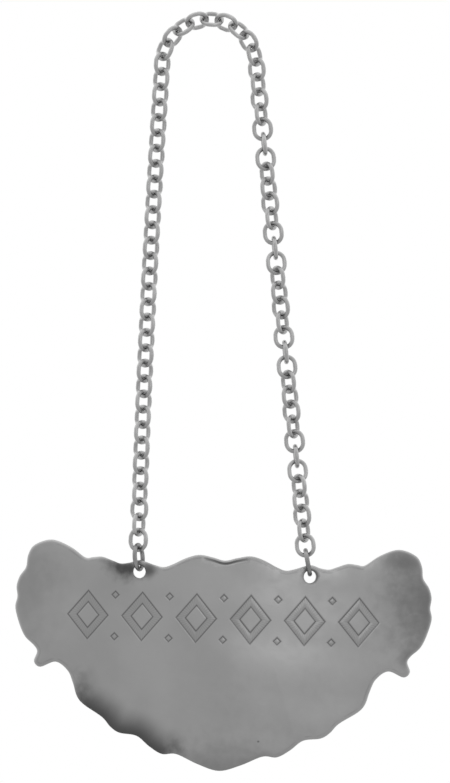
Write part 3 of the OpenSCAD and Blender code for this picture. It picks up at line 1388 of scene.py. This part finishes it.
@dataclass
class LabelPlate:
    """The bowed plate: its outline, its rounded edges, its chain holes, its dents and its band.

    Each of its waves has a height, a length, a turn in degrees and a phase in radians.
    """

    finish: Callable[[tuple[float, float, float]], PlateFinish]
    band: LozengeBand
    body: str = "label"
    node: str = "label_plate"
    half_width: float = 29.1
    lobe_rise: float = 4.05
    thickness: float = 0.9
    bow_radius: float = 75.0
    hole_x: float = 11.85
    hole_diameter: float = 1.8
    hole_bevel: float = 0.12
    hole_steps: int = 40
    lug_rise: float = 1.6
    hole_mark: float = 0.9
    hole_mark_deg: float = 45.0
    hole_rub: float = 0.7
    front_round: float = 0.26
    back_round: float = 0.2
    round_steps: int = 5
    curve_steps: int = 6
    edge_steps: int = 30
    front_pitch: float = 0.45
    back_pitch: float = 0.7
    roll_depth: float = 0.16
    roll_width: float = 0.9
    waves: tuple[tuple[float, float, float, float], ...] = (
        (0.05, 19.0, 25.0, 0.4),
        (0.035, 13.0, -50.0, 2.1),
        (0.02, 7.5, 80.0, 1.2),
    )
    crease_left: float = -3.1
    crease_right: float = 3.6
    crease_width: float = 0.22
    crease_depth: float = 0.14
    dents: tuple[Dent, ...] = (
        Dent(
            ((24.9, -5.6), (25.5, -5.1), (26.2, -4.65), (26.8, -4.6), (27.4, -4.7), (28.1, -4.75))
        ),
        Dent(((24.5, -8.6), (25.1, -8.3), (25.7, -8.05), (26.3, -7.85), (26.9, -7.65))),
    )

    def half_outline(self) -> list[Place]:
        """Draws the right half of the outline.

        Returns:
            Its points, from the notch at the top to the tip at the foot.
        """
        return [
            (0, 1.9), (1.7, 2.3), (3.6, 2.6), (5.4, 2.1), (7.3, 1.15), (8.5, 0.75), (9.8, 1),
            (self.hole_x, self.lug_rise), (13.3, 1.2), (14.5, 1.05), (15.6, 1.4), (17.1, 1.9),
            (18.4, 1.8), (19.5, 1.75), (21.6, 3.15), (24.2, self.lobe_rise), (26.6, 3.25),
            (27.5, 1.8), (27.75, 0.1), (28.6, -1.2), (29, -2.6), (28.85, -4.05),
            (self.half_width, -5.6), (28.45, -7.9), (27.6, -9.6), (26.3, -10.8), (25.85, -11.65),
            (26.25, -13), (25.35, -13.75), (23.2, -12.95), (21.5, -14.1), (20.7, -15.8),
            (20.1, -17.6), (19.1, -18.75), (16.5, -20.4), (15.3, -21.7), (14, -22.5),
            (11.6, -22.85), (9.8, -24.25), (8, -25.25), (6, -25.2), (3, -26.5), (0, -27.35),
        ]

    def outline(self, steps: int) -> np.ndarray:
        """Draws the whole outline as a smooth loop.

        Args:
            steps: Points on it for each point of its drawing.

        Returns:
            Its points, running clockwise from the notch.
        """
        right = np.array(self.half_outline(), float)
        left = right[-2:0:-1] * (-1, 1)
        return smooth_loop(np.concatenate([right, left]), steps)

    def middle(self) -> Vector:
        """Midway between the chain holes, in metres in the frame."""
        low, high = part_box(self.node)
        return Vector(((low.x + high.x) / 2, 0.0, high.z - self.lobe_rise * MM))

    def edge_profile(self) -> list[tuple[float, float]]:
        """Draws the section of the plate's edge.

        Returns:
            Insets and depths, from the front to the back.
        """
        turns = np.linspace(0, math.pi / 2, self.round_steps)
        front, back = self.front_round, self.back_round
        section = [(front * (1 - math.sin(t)), front * (1 - math.cos(t))) for t in turns]
        for t in turns:
            depth = self.thickness - back * (1 - math.sin(t))
            section.append((back * (1 - math.cos(t)), depth))
        return section

    def hole_profile(self) -> list[tuple[float, float]]:
        """Draws the section of a chain hole's wall.

        Returns:
            Radii and depths, from the front to the back.
        """
        radius, bevel = self.hole_diameter / 2, self.hole_bevel
        soft = bevel * (1 - math.sqrt(0.5))
        front = [(radius + bevel, 0.0), (radius + soft, soft), (radius, bevel)]
        return front + [(r, self.thickness - depth) for r, depth in reversed(front)]

    def hole_angles(self) -> np.ndarray:
        """The angles of the points round a chain hole."""
        return np.arange(self.hole_steps) * 2 * math.pi / self.hole_steps

    def hole_ring(self, side: Side, radius: float, depth: float) -> np.ndarray:
        """Points round a chain hole, which is drilled square to the bowed plate.

        Args:
            side: Which hole.
            radius: The ring's radius.
            depth: Its depth below the plate's front.

        Returns:
            The points, running anticlockwise.
        """
        turn = math.asin(self.hole_x / self.bow_radius)
        angles = self.hole_angles()
        across, up = radius * np.cos(angles), radius * np.sin(angles)
        shell = self.bow_radius + self.thickness / 2 - depth
        out = np.sqrt(shell**2 - across**2)
        x = side.value * out * math.sin(turn) + across * math.cos(turn)
        return np.stack([x, up], axis=1)

    def hole_marks(self) -> np.ndarray:
        """How much darker the rings round a chain hole are painted, least where the ring wears the
        hole.
        """
        kept = np.cos(self.hole_angles() - math.radians(self.hole_mark_deg))
        return self.hole_mark * (1 - self.hole_rub * (1 - kept) / 2)

    def crease(self, sheet: Sheet, outline: np.ndarray) -> Cut:
        """Cuts the groove that runs under the top edge across the notch.

        Args:
            sheet: The sheet that it is cut into.
            outline: The plate's outline.

        Returns:
            The groove's points, and the lines between them that the sheet's faces keep to.
        """
        x, z = outline.T
        near = (x > self.crease_left) & (x < self.crease_right) & (z > 0)
        order = np.argsort(x[near])
        start = self.front_round + self.crease_width / 4
        end = start + self.crease_width
        rows = (
            (start, self.crease_depth, 1.0),
            (end, self.crease_depth, 1.0),
            (end + self.crease_width / 2, 0.0, 0.0),
        )
        return score(sheet, outline[near][order], inward(outline)[near][order], rows)

    def grid(self, rim: np.ndarray, pitch: float, avoid: np.ndarray) -> np.ndarray:
        """Loose points in staggered rows over a face.

        Args:
            rim: The face's rim.
            pitch: The distance between points.
            avoid: Points that they keep clear of, by half that distance.

        Returns:
            The points.
        """
        low, high = rim.min(axis=0), rim.max(axis=0)
        rows = np.arange(low[1], high[1], pitch * math.sqrt(0.75))
        across = np.arange(low[0], high[0], pitch)
        shifts = [pitch / 2 * (i % 2) for i in range(len(rows))]
        points = [(x + shift, z) for shift, z in zip(shifts, rows, strict=True) for x in across]
        points = np.array(points)
        points = points[inside(points, rim)]
        return points[distances(points, avoid) > pitch / 2]

    def bend(self, flat: np.ndarray, from_edge: np.ndarray) -> np.ndarray:
        """How far the beaten plate lies behind its true bow.

        Args:
            flat: Places on the plate.
            from_edge: Their distance from its edge.

        Returns:
            The distance to the back at each place.
        """
        behind = self.roll_depth * np.exp(-from_edge / self.roll_width)
        for height, length, turn_deg, phase in self.waves:
            turn = math.radians(turn_deg)
            along = flat[:, 0] * math.cos(turn) + flat[:, 1] * math.sin(turn)
            behind += height * np.sin(along * 2 * math.pi / length + phase)
        return behind

    def lay_out(self, outline: np.ndarray) -> Sheet:
        """Draws the plate flat, with its edges, holes, creases and band.

        Args:
            outline: The plate's outline.

        Returns:
            The sheet.
        """
        sheet = Sheet()
        square = inward(outline)
        edge = [sheet.points(outline + square * i, depth) for i, depth in self.edge_profile()]
        sheet.walls(edge)
        front_holes, back_holes = [], []
        for side in Side:
            rings = [
                sheet.points(self.hole_ring(side, radius, depth), depth, self.hole_marks())
                for radius, depth in self.hole_profile()
            ]
            sheet.walls(rings)
            front_holes.append(rings[0])
            back_holes.append(rings[-1])
        cuts = [self.band.engrave(sheet), self.crease(sheet, outline)]
        cuts += [dent.cut(sheet) for dent in self.dents]
        self._front(sheet, edge[0], front_holes, gathered(cuts))
        self._back(sheet, edge[-1], back_holes)
        return sheet

    def _loose(
        self, sheet: Sheet, rim: list[int], holes: list[list[int]], drawn: list[int], pitch: float
    ) -> np.ndarray:
        """Spreads loose points over a face, clear of its rim, its holes and what is drawn on it.

        Args:
            sheet: The sheet.
            rim: The ring of points round the face.
            holes: The ring round each hole in it.
            drawn: The points of what is drawn on it.
            pitch: The distance between the loose points.

        Returns:
            The loose points' places.
        """
        fixed = sheet.places([*rim, *(n for hole in holes for n in hole), *drawn])
        loose = self.grid(sheet.places(rim), pitch, fixed)
        for hole in holes:
            loose = loose[~inside(loose, sheet.places(hole))]
        return loose

    def _front(self, sheet: Sheet, rim: list[int], holes: list[list[int]], cut: Cut) -> None:
        """Fills the front between its rim, its holes and what is cut into it.

        Args:
            sheet: The sheet.
            rim: The ring of points round the face.
            holes: The ring round each hole in it.
            cut: What is cut into it.
        """
        drawn, lines = cut
        loose = self._loose(sheet, rim, holes, drawn, self.front_pitch)
        loose = loose[~self.band.covers(loose)]
        sheet.fill(rim, holes, drawn + sheet.points(loose), lines)

    def _back(self, sheet: Sheet, rim: list[int], holes: list[list[int]]) -> None:
        """Fills the plain back between its rim and its holes."""
        loose = self._loose(sheet, rim, holes, [], self.back_pitch)
        sheet.fill(rim, holes, sheet.points(loose, self.thickness), [], faces_back=True)

    def build(self) -> bpy.types.Object:
        """Makes the plate.

        Returns:
            The piece, dressed and riding on the label's body.
        """
        sheet = self.lay_out(self.outline(self.curve_steps))
        flat = np.array(sheet.flat)
        from_edge = distances(flat, self.outline(self.edge_steps))
        bow_axis = math.sqrt(self.bow_radius**2 - self.hole_x**2)
        shell = self.bow_radius + self.thickness / 2 - np.array(sheet.depth)
        behind = bow_axis - np.sqrt(shell**2 - flat[:, 0] ** 2) + self.bend(flat, from_edge)
        middle = self.middle()
        places = np.stack([flat[:, 0], behind, flat[:, 1]], axis=1) * MM + np.array(middle)

        mesh = bpy.data.meshes.new("silver_plate")
        mesh.from_pydata(places.tolist(), [], sheet.faces)
        turned = bmesh.new()
        turned.from_mesh(mesh)
        bmesh.ops.recalc_face_normals(turned, faces=turned.faces)
        turned.to_mesh(mesh)
        turned.free()
        for mark, values in ((MeshMark.HOLLOW, sheet.hollow), (MeshMark.FROM_EDGE, from_edge)):
            attribute = mesh.attributes.new(mark.value, "FLOAT", "POINT")
            attribute.data.foreach_set("value", np.array(values, np.float32))
        mesh.shade_smooth()
        finish = self.finish(tuple(middle / MM))
        mesh.materials.append(finish.material())
        return dress(put_up("silver_plate", mesh), self.body, [self.node])


@dataclass(frozen=True)
class PhotoCamera:
    """The photograph's view: where its frame lies on the label, and how far the label leans."""

    frame_height: float = 108.95
    centre_x: float = -0.71
    centre_z: float = 25.41
    distance: float = 1200.0
    lean_deg: float = 1.7
    sensor: float = 36.0
    clip_start: float = 10.0

    def build(self, middle: Vector) -> None:
        """Makes the camera and gives it to the scene.

        Args:
            middle: Midway between the plate's chain holes.
        """
        data = bpy.data.cameras.new("photo_camera")
        data.sensor_width = self.sensor
        data.lens = self.sensor * self.distance / self.frame_height
        data.clip_start = self.clip_start * MM
        camera = put_up("photo_camera", data)
        camera.location = middle + Vector((self.centre_x, -self.distance, self.centre_z)) * MM
        camera.rotation_mode = "QUATERNION"
        upright = Quaternion((1, 0, 0), math.pi / 2)
        camera.rotation_quaternion = upright @ Quaternion((0, 0, 1), math.radians(self.lean_deg))
        bpy.context.scene.camera = camera


@dataclass(frozen=True)
class SoftBox:
    """A square studio lamp, placed in metres and pointed at the label."""

    name: str
    place: tuple[float, float, float]
    size: float
    watts: float

    def build(self, target: Vector) -> None:
        """Makes the lamp.

        Args:
            target: What it points at.
        """
        data = bpy.data.lights.new(self.name, "AREA")
        data.size = self.size
        data.energy = self.watts
        lamp = put_up(self.name, data)
        lamp.location = self.place
        lamp.rotation_mode = "QUATERNION"
        lamp.rotation_quaternion = (target - Vector(self.place)).to_track_quat("-Z", "Y")


@dataclass(frozen=True)
class Studio:
    """A white studio, darker below and on the camera's side, with a pale floor.

    Its lengths are in metres.
    """

    lamps: tuple[SoftBox, ...]
    bright_way: tuple[float, float, float] = (0.0, 0.8, 0.6)
    dark_level: float = 0.55
    dark_edge: float = -0.65
    bright_edge: float = 0.8
    floor_gap: float = 0.06
    floor_half: float = 6.0
    floor_level: float = 0.8
    floor_roughness: float = 0.7
    floor_gloss: float = 0.2
    floor_near: float = 0.16
    floor_far: float = 0.4

    def build(self, target: Vector) -> None:
        """Makes the world, the floor and the lamps.

        Args:
            target: What the lamps point at.
        """
        bpy.context.scene.view_settings.view_transform = "Standard"
        self._world()
        self._floor(target)
        for lamp in self.lamps:
            lamp.build(target)

    def _backdrop(self, graph: Graph, way: Socket) -> Socket:
        """The studio's colour in a direction: white to the camera, shaded where metal mirrors it.

        Args:
            graph: The graph of the world or of a material.
            way: The direction from the label.

        Returns:
            The colour.
        """
        toward = graph.vector("DOT_PRODUCT", way, self.bright_way)
        bright = graph.ramp(toward, self.dark_edge, self.bright_edge)
        shaded = graph.mix(bright, grey(self.dark_level), grey(1.0))
        camera = graph.add("ShaderNodeLightPath").outputs["Is Camera Ray"]
        return graph.mix(camera, shaded, grey(1.0))

    def _backdrop_share(self, graph: Graph, reach: Socket) -> Socket:
        """How far the floor shows as backdrop.

        The camera sees it so only away from the label, and metal and glass see it so everywhere.

        Args:
            graph: The floor's graph.
            reach: The distance from below the label.

        Returns:
            0 where the floor is a lit surface, and 1 where it is backdrop.
        """
        path = graph.add("ShaderNodeLightPath").outputs
        mirrored = graph.math("MAXIMUM", path["Is Glossy Ray"], path["Is Transmission Ray"])
        away = graph.ramp(reach, self.floor_near, self.floor_far)
        seen = graph.math("MULTIPLY", away, path["Is Camera Ray"])
        return graph.math("MAXIMUM", mirrored, seen)

    def _world(self) -> None:
        """The walls and the ceiling, without end."""
        world = bpy.data.worlds.new("studio")
        world.use_nodes = True
        bpy.context.scene.world = world
        graph = Graph(world.node_tree)
        way = graph.out("ShaderNodeTexCoord", output="Generated")
        graph.feed(world.node_tree.nodes["Background"].inputs["Color"], self._backdrop(graph, way))

    def _floor(self, target: Vector) -> None:
        """Makes a pale floor that keeps the label's shadow and fades into the backdrop round it.

        Args:
            target: The label's middle.
        """
        low, _ = CAD_BOX
        half = self.floor_half
        corners = [(-half, -half), (half, -half), (half, half), (-half, half)]
        mesh = bpy.data.meshes.new("studio_floor")
        mesh.from_pydata([(x, y, 0.0) for x, y in corners], [], [(0, 1, 2, 3)])
        material = bpy.data.materials.new("studio_floor")
        material.use_nodes = True
        graph = Graph(material.node_tree)
        shader = material.node_tree.nodes["Principled BSDF"]
        shader.inputs["Base Color"].default_value = grey(self.floor_level)
        shader.inputs["Roughness"].default_value = self.floor_roughness
        shader.inputs["Specular IOR Level"].default_value = self.floor_gloss
        place = graph.out("ShaderNodeTexCoord", output="Object")
        reach = graph.out("ShaderNodeVectorMath", {"Vector": place}, "Value", operation="LENGTH")
        floor_z = low.z - self.floor_gap
        from_label = graph.vector("SUBTRACT", place, (0.0, 0.0, target.z - floor_z))
        way = graph.out("ShaderNodeVectorMath", {"Vector": from_label}, operation="NORMALIZE")
        colour = self._backdrop(graph, way)
        backdrop = graph.out("ShaderNodeEmission", {"Color": colour, "Strength": 1.0})
        share = self._backdrop_share(graph, reach)
        mixed = graph.add("ShaderNodeMixShader", {"Fac": share})
        graph.feed(mixed.inputs[1], shader.outputs["BSDF"])
        graph.feed(mixed.inputs[2], backdrop)
        surface = material.node_tree.nodes["Material Output"].inputs["Surface"]
        graph.feed(surface, mixed.outputs["Shader"])
        mesh.materials.append(material)
        floor = put_up("studio_floor", mesh)
        floor.location = (target.x, target.y, floor_z)


def chain_silver() -> SilverFinish:
    """Drawn silver wire, with a painted highlight on the links' rear shoulders and painted shade
    where links meet.

    Returns:
        The finish.
    """
    return SilverFinish(
        name="chain_silver",
        slot="chain_silver",
        bright=0.68,
        dull=0.58,
        oxide_and_shade=0.2,
        edge_tint=0.9,
        smooth_roughness=0.24,
        worn_roughness=0.38,
        cloud_size=1.6,
        speck_size=0.4,
        bump_depth=0.006,
        hollow_strength=0.78,
        back_shade=0.16,
        shoulder_highlight_strength=1.0,
    )


def ring_silver() -> SilverFinish:
    """Drawn silver wire that has darkened, with painted shade inside its ends.

    Returns:
        The finish.
    """
    return SilverFinish(
        name="ring_silver",
        slot="ring_silver",
        bright=0.6,
        dull=0.46,
        oxide_and_shade=0.06,
        edge_tint=0.4,
        smooth_roughness=0.26,
        worn_roughness=0.4,
        cloud_size=1.2,
        speck_size=0.4,
        bump_depth=0.006,
        hollow_strength=0.85,
    )


def plate_silver(middle: tuple[float, float, float]) -> PlateFinish:
    """Polished sheet silver with its own marks.

    Args:
        middle: Midway between the chain holes, in millimetres in the frame.

    Returns:
        The finish.
    """
    return PlateFinish(
        name="plate_silver",
        slot="plate_silver",
        bright=0.54,
        dull=0.48,
        oxide_and_shade=0.1,
        edge_tint=0.8,
        smooth_roughness=0.28,
        worn_roughness=0.36,
        cloud_size=9.0,
        speck_size=1.4,
        bump_depth=0.006,
        hollow_strength=0.8,
        middle=middle,
        # Patches painted darker, part oxide and part painted shade: those at the plate's ends,
        # along its lower-left edge and towards its foot are painted shade and painted dark
        # reflection.
        patches=(
            Patch(
                x=-13.9, z=0.5, half_length=3.9, half_height=2.5, turn_deg=-8,
                strength=0.95, core=0.05, raggedness=0.18,
            ),
            Patch(x=-10.7, z=0.2, half_length=1.9, half_height=1.7, strength=0.8),
            Patch(
                x=-13.2, z=-21.1, half_length=11.2, half_height=9.0, turn_deg=-32,
                strength=0.92, core=0.5, edge_reach=4.2, raggedness=0.07,
            ),
            Patch(
                x=26.0, z=-10.8, half_length=3.2, half_height=2.2, turn_deg=40,
                strength=0.5, rim_highlight=0.6,
            ),
            Patch(
                x=25.6, z=2.2, half_length=6.0, half_height=4.0, turn_deg=-25,
                strength=0.6, rim_highlight=0.6,
            ),
            Patch(x=28.5, z=-3.0, half_length=10.0, half_height=14.0, strength=0.58, rim_highlight=0.6),
            Patch(x=-29.0, z=-3.0, half_length=9.0, half_height=13.0, strength=0.26, rim_highlight=0.6),
            Patch(x=2.0, z=-28.5, half_length=17.0, half_height=8.5, strength=0.4),
            Patch(x=8.5, z=-17.5, half_length=11.5, half_height=8.0, strength=0.2, core=0.1),
            Patch(x=5.35, z=-23.1, half_length=0.3, half_height=0.25, strength=0.8),
        ),
    )


def main() -> None:
    """Builds the studio and the label's pieces, and logs each piece's face count."""
    logging.basicConfig(level=logging.INFO, format="%(name)s: %(message)s")
    plate = LabelPlate(finish=plate_silver, band=LozengeBand())
    PhotoCamera().build(plate.middle())
    low, high = CAD_BOX
    Studio(
        lamps=(
            SoftBox(name="key_lamp", place=(0.25, -0.78, 0.08), size=0.35, watts=0.16),
            SoftBox(name="fill_lamp", place=(-0.4, -0.6, 0.5), size=0.5, watts=0.1),
        )
    ).build((low + high) / 2)
    pieces = [plate.build()]
    tree = WireLoopTree()
    link = WireLoop(length=3.42, width=3.0, wire=0.6, path_steps=32, section_steps=16)
    ring = WireLoop(length=4.0, width=4.0, wire=0.62, path_steps=48, section_steps=16)
    rings = ConnectingRings(ring=ring, finish=ring_silver())
    chain = Chain(link=link, finish=chain_silver(), shade_grain=ShadeGrain(), rings=rings)
    pieces += [*chain.build(tree), rings.build(tree)]
    for piece in pieces:
        LOG.info("%s: %d faces", piece.name, len(piece.data.polygons))


if __name__ == "__main__":
    main()
